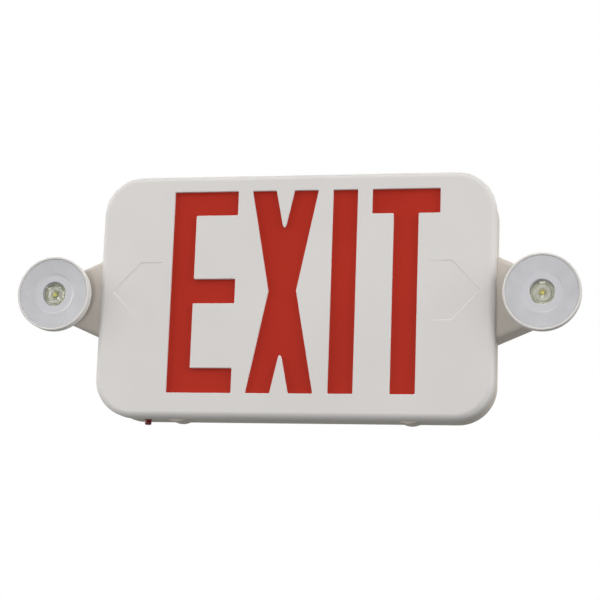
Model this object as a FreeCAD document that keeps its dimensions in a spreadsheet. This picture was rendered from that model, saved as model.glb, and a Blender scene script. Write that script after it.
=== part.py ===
import FreeCAD, Part
import math
import os
import re

import Sketcher
from FreeCAD import Placement, Rotation, Vector

# Wall-mounted emergency exit light: a moulded body with a lit legend and two lamp heads that swivel and
# tilt. Every piece is drawn in the wall frame, x to the right, y up and z out of the wall, and FACING then
# turns it into the part's own frame: +X right, +Y into the wall, +Z up, origin at the middle of the back.

SIZES = {
    # Body: a cover and a housing that part in a plane parallel to the wall.
    "cover_width": 305.0,
    "cover_height": 188.0,
    "cover_corner": 30.0,
    "cover_edge_round": 4.7,
    "cover_wall": 2.2,
    "cover_depth": 12.0,
    "body_depth": 42.0,
    "housing_inset": 1.0,
    "back_wall": 2.6,
    "tongue_wall": 1.1,
    "tongue_height": 4.0,
    "tongue_gap": 0.3,
    # Fits shared by several pieces.
    "seat_gap": 0.2,
    "running_gap": 0.05,
    "swing_gap": 0.4,
    # Side arms, which carry the lamp heads.
    "lamp_side_gap": 5.9,
    "arm_root_half": 31.8,
    "arm_tip_radius": 15.0,
    "arm_setback": 12.3,
    "arm_wall": 2.2,
    "arm_face_wall": 2.5,
    "arm_edge_round": 4.0,
    "arm_cover_inset": 1.8,
    "arm_cover_thick": 2.0,
    "arm_post_radius": 3.2,
    "arm_post_reach": 12.0,
    "wire_hole_radius": 4.0,
    "wire_hole_rise": 12.0,
    "wire_hole_height": 15.0,
    # Swivel turret in the arm's tip.
    "swivel_recess_radius": 9.5,
    "swivel_recess_depth": 1.1,
    "swivel_wall": 2.6,
    "swivel_boss_wall": 2.0,
    "stem_radius": 6.0,
    "stem_bore": 3.4,
    "flange_thick": 1.5,
    "clip_thick": 1.0,
    "clip_groove_radius": 5.2,
    "clip_outer_radius": 8.0,
    "clip_mouth": 6.0,
    "stem_end": 1.2,
    # Tilt joint between turret and lamp.
    "pivot_stand": 5.8,
    "pin_radius": 1.5,
    "cheek_radius": 3.0,
    "cheek_thick": 3.0,
    "lug_thick": 6.0,
    "lug_radius": 3.5,
    "lug_side_gap": 0.3,
    "tilt_limit": 25.0,
    # Lamp head.
    "lamp_radius": 28.8,
    "lamp_rim_depth": 7.8,
    "lamp_wall": 1.8,
    "lamp_tail_radius": 13.0,
    "lamp_ledge": 1.2,
    "lamp_edge_round": 0.7,
    "lamp_back_round": 1.2,
    "dish_setback": 0.5,
    "dish_thick": 1.4,
    "dish_lip": 2.4,
    "dish_drop": 1.5,
    "dish_step": 0.4,
    "dish_ring_radius": 15.0,
    "throat_radius": 8.4,
    "throat_wall": 1.2,
    "lens_radius": 5.7,
    "lens_height": 5.4,
    "lens_shoulder": 2.0,
    "lens_wall": 1.2,
    "lamp_board_radius": 11.0,
    "lamp_board_thick": 1.2,
    "led_base_radius": 3.0,
    "led_base_height": 0.8,
    "led_dome_radius": 2.2,
    # Cover latches and the chevrons scored into the face.
    "latch_spread": 178.0,
    "latch_radius": 14.0,
    "latch_proud": 2.7,
    "latch_back": 11.0,
    "latch_catch": 4.0,
    "hook_width": 8.0,
    "hook_thick": 1.6,
    "hook_reach": 14.0,
    "hook_barb": 2.2,
    "hook_barb_length": 4.0,
    "chevron_tip": 141.8,
    "chevron_band": 17.8,
    "chevron_sweep": 21.4,
    "chevron_half": 22.9,
    "chevron_rise": 2.9,
    "chevron_line": 0.6,
    "chevron_depth": 0.2,
    # Legend light: diffuser, reflector tray and its boards.
    "diffuser_gap": 4.0,
    "diffuser_thick": 2.0,
    "diffuser_corner": 22.0,
    "peg_radius": 1.5,
    "peg_gap": 0.2,
    "peg_inset_x": 9.0,
    "peg_inset_y": 26.0,
    "tray_depth": 8.8,
    "tray_wall": 1.4,
    "tray_lip": 2.0,
    "tray_lip_thick": 1.2,
    "tray_corner": 18.0,
    "tray_post_radius": 4.0,
    "tray_post_inset_x": 11.0,
    "tray_post_spread_y": 96.0,
    "strip_length": 236.0,
    "strip_width": 12.0,
    "strip_thick": 1.2,
    "strip_spread": 80.0,
    "led_side": 3.0,
    "led_height": 1.0,
    # Openings in the back wall.
    "wire_entry_radius": 11.1,
    "box_screw_spread": 88.9,
    "gang_screw_spread": 83.3,
    "box_screw_radius": 2.4,
    "keyhole_spread": 200.0,
    "keyhole_rise": 58.0,
    "keyhole_head_radius": 4.5,
    "keyhole_neck_radius": 2.3,
    "keyhole_travel": 8.0,
    # Main circuit board.
    "board_width": 76.0,
    "board_height": 108.0,
    "board_thick": 1.6,
    "board_side_gap": 21.0,
    "board_low_gap": 10.0,
    "board_stand": 8.0,
    "board_post_radius": 3.5,
    "board_hole_inset": 5.0,
    "transformer_width": 44.0,
    "transformer_height": 36.0,
    "transformer_tall": 17.0,
    "coil_bulge": 4.0,
    "capacitor_radius": 5.0,
    "capacitor_tall": 16.0,
    "capacitor_gap": 1.4,
    "relay_width": 15.0,
    "relay_height": 19.0,
    "relay_tall": 12.0,
    "terminal_width": 20.0,
    "terminal_height": 10.0,
    "terminal_tall": 11.0,
    "terminal_well_radius": 2.6,
    "terminal_well_depth": 6.0,
    # Test button in the bottom wall and the switch it presses.
    "button_from_side": 35.7,
    "button_stand": 16.0,
    "button_radius": 2.6,
    "button_tip_round": 1.3,
    "button_hole_gap": 0.15,
    "button_proud": 4.2,
    "button_flange_radius": 3.9,
    "button_flange_thick": 1.0,
    "button_travel": 1.2,
    "switch_width": 8.0,
    "switch_length": 7.0,
    "plunger_radius": 1.7,
    "plunger_length": 4.0,
    # Battery pack of cells side by side, in a cradle under a strap.
    "cell_radius": 7.2,
    "cell_length": 49.0,
    "battery_from_side": 59.0,
    "battery_drop": 30.0,
    "cradle_wall": 2.0,
    "cradle_height": 10.0,
    "strap_width": 14.0,
    "strap_thick": 1.2,
    "strap_foot": 10.0,
    # Screws: one pan head for all of them.
    "screw_head_radius": 2.8,
    "screw_head_height": 1.6,
    "screw_shank_radius": 1.2,
    "screw_shank_length": 5.0,
    "screw_hole_gap": 0.3,
}

CELLS = 4
STRIP_LEDS = 10
TERMINALS = 3
CAPACITORS = 3
TOLERANCE = 1e-4

# Levels above the wall, and widths, that several pieces share.
FACE = "body_depth"
PARTING = "(body_depth - cover_depth)"
ARM_FACE = "(body_depth - arm_setback)"
HOUSING_WIDTH = "(cover_width - 2 * housing_inset)"
HOUSING_HEIGHT = "(cover_height - 2 * housing_inset)"
HOUSING_CORNER = "(cover_corner - housing_inset)"
HOUSING_WALL = "(cover_wall + tongue_gap - housing_inset + tongue_wall)"
INNER_WIDTH = f"({HOUSING_WIDTH} - 2 * {HOUSING_WALL})"
INNER_HEIGHT = f"({HOUSING_HEIGHT} - 2 * {HOUSING_WALL})"
INNER_CORNER = f"({HOUSING_CORNER} - {HOUSING_WALL})"
COVER_INSIDE = f"({FACE} - cover_wall)"
LATCH_X = "(latch_spread / 2)"
HOOK_OUT = f"({INNER_HEIGHT} / 2 - seat_gap)"
DIFFUSER_FRONT = f"({COVER_INSIDE} - seat_gap)"
DIFFUSER_BACK = f"({DIFFUSER_FRONT} - diffuser_thick)"
DIFFUSER_WIDTH = "(cover_width - 2 * cover_wall - 2 * diffuser_gap)"
DIFFUSER_HEIGHT = "(cover_height - 2 * cover_wall - 2 * diffuser_gap)"
PEG_X = f"({DIFFUSER_WIDTH} / 2 - peg_inset_x)"
PEG_Y = f"({DIFFUSER_HEIGHT} / 2 - peg_inset_y)"
TRAY_FRONT = f"({DIFFUSER_BACK} - seat_gap)"
TRAY_BACK = f"({TRAY_FRONT} - tray_depth)"
TRAY_FLOOR = f"({TRAY_BACK} + tray_wall)"
TRAY_WIDTH = f"({DIFFUSER_WIDTH} - 4 * tray_lip)"
TRAY_HEIGHT = f"({DIFFUSER_HEIGHT} - 4 * tray_lip)"
TRAY_POST_X = f"({INNER_WIDTH} / 2 - tray_post_inset_x)"
TRAY_POST_Y = "(tray_post_spread_y / 2)"
BOARD_X = f"(board_side_gap + board_width / 2 - {INNER_WIDTH} / 2)"
BOARD_Y = f"(board_low_gap + board_height / 2 - {INNER_HEIGHT} / 2)"
BOARD_FRONT = "(board_stand + board_thick)"
BUTTON_X = f"(button_from_side - {HOUSING_WIDTH} / 2)"
BATTERY_X = f"({INNER_WIDTH} / 2 - battery_from_side)"
BATTERY_BACK = "(back_wall + seat_gap)"
STRAP_INNER = f"({CELLS} * cell_radius + 2 * seat_gap + cradle_wall)"
STRAP_SCREW = "(strap_thick + strap_foot / 2)"
STRAP_FOOT = "(back_wall + screw_shank_length - strap_thick + seat_gap)"
ARM_REACH = "(cover_width / 2 + lamp_side_gap + lamp_radius)"
ARM_POST_X = f"({HOUSING_WIDTH} / 2 + arm_post_reach)"
ARM_COVER_FRONT = "(arm_cover_inset + arm_cover_thick)"
SWIVEL_BACK = "(swivel_recess_depth + swivel_wall)"
PIVOT = f"({ARM_FACE} + pivot_stand)"
LAMP_MOUTH = "(lamp_radius - lamp_wall)"
LAMP_BACK = "(cheek_radius + swing_gap)"
LAMP_RIM = "((lamp_radius * sin(tilt_limit) - pivot_stand + swing_gap) / cos(tilt_limit))"
LAMP_FRONT = f"({LAMP_RIM} + lamp_rim_depth)"
LAMP_FLOOR = f"({LAMP_BACK} + lamp_wall)"
LAMP_BOARD_FRONT = f"({LAMP_FLOOR} + lamp_board_thick)"
DISH_FRONT = f"({LAMP_FRONT} - dish_setback)"
PIN_HALF = "(lug_thick / 2 + lug_side_gap + cheek_thick)"
SCREW_HOLE = "(screw_shank_radius + screw_hole_gap)"

ALIAS = re.compile(r"\b(" + "|".join(SIZES) + r")\b")
FACING = Rotation(Vector(1, 0, 0), 90)

doc = FreeCAD.newDocument("emergency_exit_light")
nodes = []


def make_sheet():
    """Put the driving dimensions in a spreadsheet, one named cell each."""
    sheet = doc.addObject("Spreadsheet::Sheet", "Sizes")
    for row, (name, value) in enumerate(SIZES.items(), start=1):
        sheet.set(f"A{row}", name)
        sheet.set(f"B{row}", str(value))
        sheet.setAlias(f"B{row}", name)
    doc.recompute()
    return sheet


def bound(expression):
    """Point every size named in an expression at its cell in the sheet."""
    return ALIAS.sub(r"Sizes.\1", expression)


def value(owner, expression):
    """The number that an expression has now."""
    result = owner.evalExpression(bound(expression))
    return float(getattr(result, "Value", result))


def new_body(name, x="0", level="0"):
    """A body in the wall frame, with its origin at x and at a level above the wall."""
    body = doc.addObject("PartDesign::Body", name)
    body.Label = name
    body.Placement = Placement(Vector(0, 0, 0), FACING)
    body.setExpression("Placement.Base.x", bound(x))
    body.setExpression("Placement.Base.y", bound(f"-({level})"))
    nodes.append(body)
    return body


def new_sketch(body, name, role="XY_Plane", offset="0"):
    """A sketch on one of the body's origin planes, moved along the plane's normal."""
    sketch = body.newObject("Sketcher::SketchObject", name)
    plane = next(item for item in body.Origin.OriginFeatures if item.Role == role)
    sketch.AttachmentSupport = [(plane, "")]
    sketch.MapMode = "FlatFace"
    sketch.setExpression("AttachmentOffset.Base.z", bound(offset))
    return sketch


def drive(sketch, kind, *arguments, by):
    """Add a constraint whose size follows an expression."""
    index = sketch.addConstraint(Sketcher.Constraint(kind, *arguments, value(sketch, by)))
    sketch.setExpression(f"Constraints[{index}]", bound(by))


def fix_point(sketch, geometry, point, x, y):
    """Hold a point of the sketch at x, y."""
    drive(sketch, "DistanceX", -1, 1, geometry, point, by=x)
    drive(sketch, "DistanceY", -1, 1, geometry, point, by=y)


def polygon(sketch, corners, domes=()):
    """A closed outline; a side listed in domes is an arc centred on the sketch's vertical axis."""
    points = [Vector(value(sketch, x), value(sketch, y), 0) for x, y in corners]
    first = sketch.GeometryCount
    count = len(points)
    ends = []
    for side, start in enumerate(points):
        end = points[(side + 1) % count]
        if side in domes:
            arc = axis_arc(start, end)
            sketch.addGeometry(arc)
            forward = arc.StartPoint.distanceToPoint(start) < TOLERANCE
            ends.append((1, 2) if forward else (2, 1))
            drive(sketch, "DistanceX", -1, 1, first + side, 3, by="0")
        else:
            sketch.addGeometry(Part.LineSegment(start, end))
            ends.append((1, 2))
    for side, (x, y) in enumerate(corners):
        following = (side + 1) % count
        joint = (first + side, ends[side][1], first + following, ends[following][0])
        sketch.addConstraint(Sketcher.Constraint("Coincident", *joint))
        fix_point(sketch, first + side, ends[side][0], x, y)


def axis_arc(start, end):
    """The shorter arc from start to end with its centre on the vertical axis."""
    centre_y = (end.x**2 + end.y**2 - start.x**2 - start.y**2) / (2 * (end.y - start.y))
    centre = Vector(0, centre_y, 0)
    angles = [math.atan2(point.y - centre_y, point.x) for point in (start, end)]
    circle = Part.Circle(centre, Vector(0, 0, 1), start.distanceToPoint(centre))
    return Part.ArcOfCircle(circle, min(angles), max(angles))


def circle(sketch, x, y, radius):
    """A circle held by its centre and radius."""
    centre = Vector(value(sketch, x), value(sketch, y), 0)
    index = sketch.addGeometry(Part.Circle(centre, Vector(0, 0, 1), value(sketch, radius)))
    drive(sketch, "Radius", index, by=radius)
    fix_point(sketch, index, 3, x, y)


def held_arc(sketch, x, y, radius, start, end):
    """An arc held by its centre and radius, with both ends left to its neighbours."""
    centre = Vector(value(sketch, x), value(sketch, y), 0)
    whole = Part.Circle(centre, Vector(0, 0, 1), value(sketch, radius))
    index = sketch.addGeometry(Part.ArcOfCircle(whole, start, end))
    drive(sketch, "Radius", index, by=radius)
    fix_point(sketch, index, 3, x, y)
    return index


def join_tangent(sketch, line, line_end, arc, arc_end):
    """Run a line smoothly into an arc."""
    sketch.addConstraint(Sketcher.Constraint("Tangent", line, line_end, arc, arc_end))


def arc_point(sketch, arc, end):
    """Where an arc starts (1) or ends (2)."""
    geometry = sketch.Geometry[arc]
    return geometry.StartPoint if end == 1 else geometry.EndPoint


def rounded_rectangle(sketch, width, height, radius, x="0", y="0"):
    """A rectangle about x, y with four equal round corners."""
    quarter = math.pi / 2
    arcs = []
    for turn, (side_x, side_y) in enumerate(((1, 1), (-1, 1), (-1, -1), (1, -1))):
        centre_x = f"{x} + {side_x} * ({width} / 2 - {radius})"
        centre_y = f"{y} + {side_y} * ({height} / 2 - {radius})"
        arcs.append(held_arc(sketch, centre_x, centre_y, radius, turn * quarter, (turn + 1) * quarter))
    for turn, arc in enumerate(arcs):
        following = arcs[(turn + 1) % 4]
        line = Part.LineSegment(arc_point(sketch, arc, 2), arc_point(sketch, following, 1))
        index = sketch.addGeometry(line)
        join_tangent(sketch, index, 1, arc, 2)
        join_tangent(sketch, index, 2, following, 1)


def arm_tip(sketch, side, root_x, root_half, radius):
    """One arm's round tip and the two lines that spread from it to the body; gives its lines."""
    reach = value(sketch, ARM_REACH) - value(sketch, root_x)
    half = value(sketch, root_half)
    slant = math.atan2(half, reach)
    spread = math.acos(value(sketch, radius) / math.hypot(reach, half))
    touch = math.pi - slant - spread
    middle = 0.0 if side > 0 else math.pi
    arc = held_arc(sketch, f"{side} * {ARM_REACH}", "0", radius, middle - touch, middle + touch)
    lines = []
    for end, sign in ((1, -side), (2, side)):
        root = Vector(side * value(sketch, root_x), sign * half, 0)
        index = sketch.addGeometry(Part.LineSegment(root, arc_point(sketch, arc, end)))
        fix_point(sketch, index, 1, f"{side} * {root_x}", f"{sign} * {root_half}")
        join_tangent(sketch, index, 2, arc, end)
        lines.append((sign, index))
    return dict(lines)


def close_between(sketch, line_a, line_b):
    """Join the root ends of two lines with a straight side."""
    side = Part.LineSegment(sketch.Geometry[line_a].StartPoint, sketch.Geometry[line_b].StartPoint)
    index = sketch.addGeometry(side)
    sketch.addConstraint(Sketcher.Constraint("Coincident", index, 1, line_a, 1))
    sketch.addConstraint(Sketcher.Constraint("Coincident", index, 2, line_b, 1))


def grow(kind, sketch, length, symmetric, flip):
    """A pad or pocket of a sketch, over a length that follows an expression."""
    body = sketch.getParentGeoFeatureGroup()
    before = body.Tip.Shape.Volume if body.Tip else 0.0
    feature = body.newObject(kind, f"{sketch.Name}_feature")
    feature.Profile = sketch
    feature.setExpression("Length", bound(length))
    if symmetric:
        feature.SideType = "Symmetric"
    feature.Reversed = flip
    doc.recompute()
    change = feature.Shape.Volume - before
    grows = kind.endswith("Pad")
    if (change > 0) != grows or abs(change) < TOLERANCE:
        raise RuntimeError(f"{body.Label}: {feature.Name} changes nothing")
    return feature


def pad(sketch, length, symmetric=False, flip=False):
    """Add material along the sketch's normal."""
    return grow("PartDesign::Pad", sketch, length, symmetric, flip)


def pocket(sketch, length, symmetric=False, flip=False):
    """Cut material against the sketch's normal."""
    return grow("PartDesign::Pocket", sketch, length, symmetric, flip)


def revolve(sketch):
    """Turn a half profile about the sketch's vertical axis."""
    body = sketch.getParentGeoFeatureGroup()
    feature = body.newObject("PartDesign::Revolution", f"{sketch.Name}_feature")
    feature.Profile = sketch
    feature.ReferenceAxis = (sketch, ["V_Axis"])
    feature.Angle = 360
    doc.recompute()
    return feature


def level_edges(body, level, radius=None):
    """Names of the edges that lie in a plane parallel to the wall, or of one circle in it."""
    height = value(body, level)
    wanted = value(body, radius) if radius else None
    names = []
    for number, edge in enumerate(body.Tip.Shape.Edges, start=1):
        box = edge.BoundBox
        if max(abs(box.ZMin - height), abs(box.ZMax - height)) > TOLERANCE:
            continue
        if wanted is None or abs(getattr(edge.Curve, "Radius", -1) - wanted) < TOLERANCE:
            names.append(f"Edge{number}")
    return names


def fillet(body, edges, radius):
    """Round some edges of the body as it is so far."""
    base = body.Tip
    feature = body.newObject("PartDesign::Fillet", f"{body.Name}_round")
    feature.Base = (base, edges)
    feature.setExpression("Radius", bound(radius))
    doc.recompute()
    return feature


def primitive(kind, name, sizes, x="0", y="0", z="0"):
    """A Part primitive in the wall frame, with its sizes and place bound to the sheet."""
    shape = doc.addObject(kind, name)
    for key, expression in sizes.items():
        shape.setExpression(key, bound(expression))
    for axis, expression in (("x", x), ("y", y), ("z", z)):
        shape.setExpression(f"Placement.Base.{axis}", bound(expression))
    return shape


def cylinder(name, radius, height, x, y, z):
    """A cylinder that stands out from the wall."""
    return primitive("Part::Cylinder", name, {"Radius": radius, "Height": height}, x, y, z)


def block(name, width, height, tall, x, y, z):
    """A block centred on x, y that stands out from the wall."""
    sizes = {"Length": width, "Width": height, "Height": tall}
    return primitive("Part::Box", name, sizes, f"{x} - {width} / 2", f"{y} - {height} / 2", z)


def fuse(name, pieces):
    """One solid from several primitives."""
    joined = doc.addObject("Part::MultiFuse", name)
    joined.Shapes = pieces
    joined.Refine = True
    return joined


def group(name, pieces):
    """Like pieces that share one node, each a solid of its own."""
    together = doc.addObject("Part::Compound", name)
    together.Links = pieces
    return finish(together, name)


def finish(shape, name):
    """Name a finished Part object and turn it into the part's own frame."""
    shape.Label = name
    shape.Placement = Placement(Vector(0, 0, 0), FACING)
    nodes.append(shape)
    return shape


def screws(name, places, seat, towards_wall=True):
    """Pan-head screws whose heads rest at a level, with shanks towards the wall or away from it."""
    pieces = []
    for x, y in places:
        head_z = seat if towards_wall else f"{seat} - screw_head_height"
        shank_z = f"{seat} - screw_shank_length" if towards_wall else seat
        head = cylinder(f"{name}_head", "screw_head_radius", "screw_head_height", x, y, head_z)
        shank = cylinder(f"{name}_shank", "screw_shank_radius", "screw_shank_length", x, y, shank_z)
        pieces.append(fuse(f"{name}_screw", [head, shank]))
    return group(name, pieces)


def corners(x, y):
    """The four places at plus and minus x and y."""
    return [(f"{side_x} * {x}", f"{side_y} * {y}") for side_x in (-1, 1) for side_y in (-1, 1)]


def about(x, y, offset_x, offset_y):
    """The four places at an offset each way from a centre."""
    return [(f"{x} + {dx}", f"{y} + {dy}") for dx, dy in corners(offset_x, offset_y)]


TRAY_POSTS = corners(TRAY_POST_X, TRAY_POST_Y)
BOARD_POSTS = about(BOARD_X, BOARD_Y, "(board_width / 2 - board_hole_inset)",
                    "(board_height / 2 - board_hole_inset)")
STRAP_POSTS = [(f"{BATTERY_X} + {side} * ({STRAP_INNER} + {STRAP_SCREW})", "-battery_drop")
               for side in (-1, 1)]
ARM_POSTS = [(f"{side} * {ARM_POST_X}", "0") for side in (-1, 1)]
PEGS = corners(PEG_X, PEG_Y)


def circles(sketch, places, radius):
    """The same circle at each place."""
    for x, y in places:
        circle(sketch, x, y, radius)


def posts(body, name, places, radius, top):
    """Round screw posts from the back wall up to a level, each with a blind hole for its screw."""
    sketch = new_sketch(body, name, offset="back_wall")
    circles(sketch, places, radius)
    pad(sketch, f"{top} - back_wall")
    holes = new_sketch(body, f"{name}_holes", offset=top)
    circles(holes, places, "screw_shank_radius")
    pocket(holes, f"min(screw_shank_length; {top} - back_wall / 2)")


def arms_outline(sketch):
    """Both arms and the bar between them, which the body's tray then swallows."""
    root_x = f"({HOUSING_WIDTH} / 2)"
    right = arm_tip(sketch, 1, root_x, "arm_root_half", "arm_tip_radius")
    left = arm_tip(sketch, -1, root_x, "arm_root_half", "arm_tip_radius")
    close_between(sketch, right[1], left[1])
    close_between(sketch, left[-1], right[-1])


def arm_inside(sketch, side, clearance):
    """The inside of one arm, drawn smaller by a clearance."""
    root_x = f"({HOUSING_WIDTH} / 2 + {clearance})"
    root_half = f"(arm_root_half - arm_wall - {clearance})"
    lines = arm_tip(sketch, side, root_x, root_half, f"(arm_tip_radius - arm_wall - {clearance})")
    close_between(sketch, lines[1], lines[-1])


def rear_housing():
    """Tray with its side arms, tongue, latch bosses, screw posts and openings, in one moulding."""
    body = new_body("rear_housing")
    outline = new_sketch(body, "arms_outline")
    arms_outline(outline)
    pad(outline, ARM_FACE)
    fillet(body, level_edges(body, ARM_FACE), "arm_edge_round")
    tray = new_sketch(body, "tray_outline")
    rounded_rectangle(tray, HOUSING_WIDTH, HOUSING_HEIGHT, HOUSING_CORNER)
    pad(tray, PARTING)
    latch_bosses(body)
    inside = new_sketch(body, "tray_inside", offset=PARTING)
    rounded_rectangle(inside, INNER_WIDTH, INNER_HEIGHT, INNER_CORNER)
    pocket(inside, f"{PARTING} - back_wall")
    tongue = new_sketch(body, "tongue", offset=PARTING)
    rounded_rectangle(tongue, INNER_WIDTH, INNER_HEIGHT, INNER_CORNER)
    wide, high = (f"({size} + 2 * tongue_wall)" for size in (INNER_WIDTH, INNER_HEIGHT))
    rounded_rectangle(tongue, wide, high, f"({INNER_CORNER} + tongue_wall)")
    pad(tongue, "tongue_height")
    hollow_arms(body)
    back_openings(body)
    latch_pockets(body)
    button_hole = new_sketch(body, "button_hole", "XZ_Plane", f"{INNER_HEIGHT} / 2")
    circle(button_hole, BUTTON_X, "button_stand", "(button_radius + button_hole_gap)")
    pocket(button_hole, HOUSING_WALL, flip=True)
    posts(body, "tray_posts", TRAY_POSTS, "tray_post_radius", TRAY_BACK)
    posts(body, "board_posts", BOARD_POSTS, "board_post_radius", "board_stand")
    posts(body, "strap_posts", STRAP_POSTS, "board_post_radius", STRAP_FOOT)
    battery_cradle(body)
    return body


def latch_bosses(body):
    """Half-round bosses under the bottom wall, where the cover's hooks catch."""
    sketch = new_sketch(body, "latch_bosses", offset="latch_back")
    centre_y = f"(latch_radius - latch_proud - {HOUSING_HEIGHT} / 2)"
    root_y = f"({HOUSING_WALL} / 2 - {HOUSING_HEIGHT} / 2)"
    rise = f"({root_y} - {centre_y})"
    for side in (-1, 1):
        lean = math.asin(value(sketch, rise) / value(sketch, "latch_radius"))
        x = f"{side} * {LATCH_X}"
        arc = held_arc(sketch, x, centre_y, "latch_radius", math.pi - lean, 2 * math.pi + lean)
        chord = Part.LineSegment(arc_point(sketch, arc, 2), arc_point(sketch, arc, 1))
        line = sketch.addGeometry(chord)
        sketch.addConstraint(Sketcher.Constraint("Coincident", line, 1, arc, 2))
        sketch.addConstraint(Sketcher.Constraint("Coincident", line, 2, arc, 1))
        drive(sketch, "DistanceY", -1, 1, line, 1, by=root_y)
        sketch.addConstraint(Sketcher.Constraint("Horizontal", line))
    pad(sketch, f"{PARTING} - latch_back")


def latch_pockets(body):
    """A pocket through the bottom wall into each latch boss, for the hook's barb."""
    sketch = new_sketch(body, "latch_pockets", "XZ_Plane", f"{INNER_HEIGHT} / 2")
    half = "(hook_width / 2 + tongue_gap)"
    front = f"({PARTING} - latch_catch)"
    back = f"({front} - hook_barb_length - 2 * tongue_gap)"
    for side in (-1, 1):
        left, right = (f"{side} * {LATCH_X} {sign} {half}" for sign in ("-", "+"))
        polygon(sketch, [(left, back), (right, back), (right, front), (left, front)])
    pocket(sketch, "hook_barb + tongue_gap", flip=True)


def hollow_arms(body):
    """Open the arms from the back, and bore their faces for the turrets."""
    hollow = new_sketch(body, "arm_hollow")
    for side in (-1, 1):
        arm_inside(hollow, side, "0")
    pocket(hollow, f"{ARM_FACE} - arm_face_wall", flip=True)
    axes = [(f"{side} * {ARM_REACH}", "0") for side in (-1, 1)]
    boss = new_sketch(body, "swivel_bosses", offset=f"{ARM_FACE} - {SWIVEL_BACK}")
    circles(boss, axes, "(swivel_recess_radius + swivel_boss_wall)")
    pad(boss, f"{SWIVEL_BACK} - arm_face_wall")
    recess = new_sketch(body, "swivel_recesses", offset=ARM_FACE)
    circles(recess, axes, "swivel_recess_radius")
    pocket(recess, "swivel_recess_depth")
    bore = new_sketch(body, "swivel_bores", offset=ARM_FACE)
    circles(bore, axes, "(stem_radius + running_gap)")
    pocket(bore, SWIVEL_BACK)
    post = new_sketch(body, "arm_posts", offset=ARM_COVER_FRONT)
    circles(post, ARM_POSTS, "arm_post_radius")
    pad(post, f"{ARM_FACE} - arm_face_wall - {ARM_COVER_FRONT}")
    hole = new_sketch(body, "arm_post_holes", offset=ARM_COVER_FRONT)
    circles(hole, ARM_POSTS, "screw_shank_radius")
    pocket(hole, "screw_shank_length", flip=True)
    wires = new_sketch(body, "wire_holes", "YZ_Plane")
    circle(wires, "wire_hole_rise", "wire_hole_height", "wire_hole_radius")
    pocket(wires, HOUSING_WIDTH, symmetric=True)


def back_openings(body):
    """Wire entry, screw holes for round and single boxes, and keyholes through the back wall."""
    round_holes = new_sketch(body, "back_holes")
    circle(round_holes, "0", "0", "wire_entry_radius")
    circles(round_holes, [(f"{side} * box_screw_spread / 2", "0") for side in (-1, 1)], "box_screw_radius")
    circles(round_holes, [("0", f"{side} * gang_screw_spread / 2") for side in (-1, 1)], "box_screw_radius")
    pocket(round_holes, "back_wall", flip=True)
    keyholes = [(f"{side} * keyhole_spread / 2", "keyhole_rise") for side in (-1, 1)]
    heads = new_sketch(body, "keyhole_heads")
    circles(heads, keyholes, "keyhole_head_radius")
    pocket(heads, "back_wall", flip=True)
    necks = new_sketch(body, "keyhole_necks")
    for x, y in keyholes:
        height = "(keyhole_travel + 2 * keyhole_neck_radius)"
        rounded_rectangle(necks, "(2 * keyhole_neck_radius + seat_gap)", height, "keyhole_neck_radius",
                          x, f"({y} + keyhole_travel / 2)")
    pocket(necks, "back_wall", flip=True)


def battery_cradle(body):
    """Two walls that keep the battery pack from sliding sideways."""
    sketch = new_sketch(body, "battery_cradle", offset="back_wall")
    near = f"({CELLS} * cell_radius + seat_gap)"
    for side in (-1, 1):
        inner = f"{BATTERY_X} + {side} * {near}"
        outer = f"{BATTERY_X} + {side} * ({near} + cradle_wall - seat_gap)"
        low, high = (f"{sign} * cell_length / 2 - battery_drop" for sign in (-1, 1))
        polygon(sketch, [(inner, low), (outer, low), (outer, high), (inner, high)])
    pad(sketch, "cradle_height")


def front_cover():
    """Snap-on face with soft edges, hooks, diffuser pegs and scored chevrons."""
    body = new_body("front_cover")
    outline = new_sketch(body, "cover_outline", offset=PARTING)
    rounded_rectangle(outline, "cover_width", "cover_height", "cover_corner")
    pad(outline, "cover_depth")
    fillet(body, level_edges(body, FACE), "cover_edge_round")
    inside = new_sketch(body, "cover_inside", offset=PARTING)
    wide, high = (f"({size} - 2 * cover_wall)" for size in ("cover_width", "cover_height"))
    rounded_rectangle(inside, wide, high, "(cover_corner - cover_wall)")
    pocket(inside, "cover_depth - cover_wall", flip=True)
    fillet(body, level_edges(body, COVER_INSIDE), "max(cover_edge_round - cover_wall; seat_gap)")
    pegs = new_sketch(body, "diffuser_pegs", offset=f"{DIFFUSER_BACK} - seat_gap")
    circles(pegs, PEGS, "peg_radius")
    pad(pegs, f"{COVER_INSIDE} - {DIFFUSER_BACK} + seat_gap")
    cover_hooks(body)
    chevrons(body)
    return body


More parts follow.
